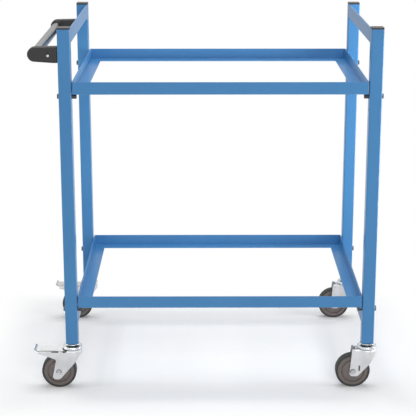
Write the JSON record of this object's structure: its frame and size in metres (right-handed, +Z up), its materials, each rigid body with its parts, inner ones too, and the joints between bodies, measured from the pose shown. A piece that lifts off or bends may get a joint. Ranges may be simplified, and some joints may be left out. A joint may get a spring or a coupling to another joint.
{
  "type": "order picking trolley",
  "caption": "Four-post trolley on swivel casters, with two open angle-section tray frames for standard boxes and a push handle at one end.",
  "frame": {"origin": "on the floor, in the middle of the space that the whole trolley takes up", "axes": "+Z up, +X from the handle's end to the other end, +Y from the front to the rear"},
  "size_m": [0.99, 0.642, 1.05],
  "materials": {
    "blue_powder_coat": "satin powder coat",
    "black_plastic": "fine grained moulding",
    "satin_aluminium": "satin anodised",
    "zinc_fasteners": "bright zinc plate",
    "bright_zinc": "bright plate, turned and pressed",
    "fork_zinc": "zinc plated pressing",
    "grey_nylon": "moulded",
    "wheel_plastic": "moulded",
    "tyre_rubber": "matt tread"
  },
  "bodies": {
    "frame": {"post_front_left": "blue_powder_coat", "post_front_right": "blue_powder_coat", "post_rear_left": "blue_powder_coat", "post_rear_right": "blue_powder_coat", "cross_rail_top_left": "blue_powder_coat", "cross_rail_top_right": "blue_powder_coat", "cross_rail_low_left": "blue_powder_coat", "cross_rail_low_right": "blue_powder_coat", "tray_frame_upper": "blue_powder_coat", "tray_frame_lower": "blue_powder_coat", "post_cap_front_left": "black_plastic", "post_cap_front_right": "black_plastic", "post_cap_rear_left": "black_plastic", "post_cap_rear_right": "black_plastic", "tray_bolt_upper_front_left": "zinc_fasteners", "tray_bolt_upper_front_right": "zinc_fasteners", "tray_bolt_upper_rear_left": "zinc_fasteners", "tray_bolt_upper_rear_right": "zinc_fasteners", "tray_bolt_lower_front_left": "zinc_fasteners", "tray_bolt_lower_front_right": "zinc_fasteners", "tray_bolt_lower_rear_left": "zinc_fasteners", "tray_bolt_lower_rear_right": "zinc_fasteners", "tray_nut_upper_front_left": "zinc_fasteners", "tray_nut_upper_front_right": "zinc_fasteners", "tray_nut_upper_rear_left": "zinc_fasteners", "tray_nut_upper_rear_right": "zinc_fasteners", "tray_nut_lower_front_left": "zinc_fasteners", "tray_nut_lower_front_right": "zinc_fasteners", "tray_nut_lower_rear_left": "zinc_fasteners", "tray_nut_lower_rear_right": "zinc_fasteners", "handle_arm_front": "black_plastic", "handle_arm_rear": "black_plastic", "handle_grip": "satin_aluminium", "caster_plug_front_left": "grey_nylon", "caster_plug_front_right": "grey_nylon", "caster_plug_rear_left": "grey_nylon", "caster_plug_rear_right": "grey_nylon", "caster_head_front_left": "bright_zinc", "caster_head_front_right": "bright_zinc", "caster_head_rear_left": "bright_zinc", "caster_head_rear_right": "bright_zinc"},
    "fork_front_left": {"caster_fork_front_left": "fork_zinc", "caster_axle_front_left": "zinc_fasteners"},
    "fork_front_right": {"caster_fork_front_right": "fork_zinc", "caster_axle_front_right": "zinc_fasteners"},
    "fork_rear_left": {"caster_fork_rear_left": "fork_zinc", "caster_axle_rear_left": "zinc_fasteners"},
    "fork_rear_right": {"caster_fork_rear_right": "fork_zinc", "caster_axle_rear_right": "zinc_fasteners"},
    "wheel_front_left": {"wheel_centre_front_left": "wheel_plastic", "wheel_tyre_front_left": "tyre_rubber"},
    "wheel_front_right": {"wheel_centre_front_right": "wheel_plastic", "wheel_tyre_front_right": "tyre_rubber"},
    "wheel_rear_left": {"wheel_centre_rear_left": "wheel_plastic", "wheel_tyre_rear_left": "tyre_rubber"},
    "wheel_rear_right": {"wheel_centre_rear_right": "wheel_plastic", "wheel_tyre_rear_right": "tyre_rubber"},
    "pedal_front_left": {"brake_pedal_front_left": "fork_zinc"},
    "pedal_rear_left": {"brake_pedal_rear_left": "fork_zinc"}
  },
  "joints": [
    {"name": "swivel_front_left", "type": "hinge", "parent": "frame", "child": "fork_front_left", "pos_m": [-0.3885, -0.2925, 0.1135], "axis": [0, 0, 1], "continuous": true},
    {"name": "swivel_front_right", "type": "hinge", "parent": "frame", "child": "fork_front_right", "pos_m": [0.4665, -0.2925, 0.1135], "axis": [0, 0, 1], "continuous": true},
    {"name": "swivel_rear_left", "type": "hinge", "parent": "frame", "child": "fork_rear_left", "pos_m": [-0.3885, 0.2925, 0.1135], "axis": [0, 0, 1], "continuous": true},
    {"name": "swivel_rear_right", "type": "hinge", "parent": "frame", "child": "fork_rear_right", "pos_m": [0.4665, 0.2925, 0.1135], "axis": [0, 0, 1], "continuous": true},
    {"name": "wheel_spin_front_left", "type": "hinge", "parent": "fork_front_left", "child": "wheel_front_left", "pos_m": [-0.4285, -0.2925, 0.05], "axis": [0, 1, 0], "continuous": true},
    {"name": "wheel_spin_front_right", "type": "hinge", "parent": "fork_front_right", "child": "wheel_front_right", "pos_m": [0.4265, -0.2925, 0.05], "axis": [0, 1, 0], "continuous": true},
    {"name": "wheel_spin_rear_left", "type": "hinge", "parent": "fork_rear_left", "child": "wheel_rear_left", "pos_m": [-0.4285, 0.2925, 0.05], "axis": [0, 1, 0], "continuous": true},
    {"name": "wheel_spin_rear_right", "type": "hinge", "parent": "fork_rear_right", "child": "wheel_rear_right", "pos_m": [0.4265, 0.2925, 0.05], "axis": [0, 1, 0], "continuous": true},
    {"name": "brake_press_front_left", "type": "hinge", "parent": "fork_front_left", "child": "pedal_front_left", "pos_m": [-0.4225, -0.2925, 0.1072], "axis": [0, -1, 0], "range_deg": [0, 12]},
    {"name": "brake_press_rear_left", "type": "hinge", "parent": "fork_rear_left", "child": "pedal_rear_left", "pos_m": [-0.4225, 0.2925, 0.1072], "axis": [0, -1, 0], "range_deg": [0, 12]}
  ]
}
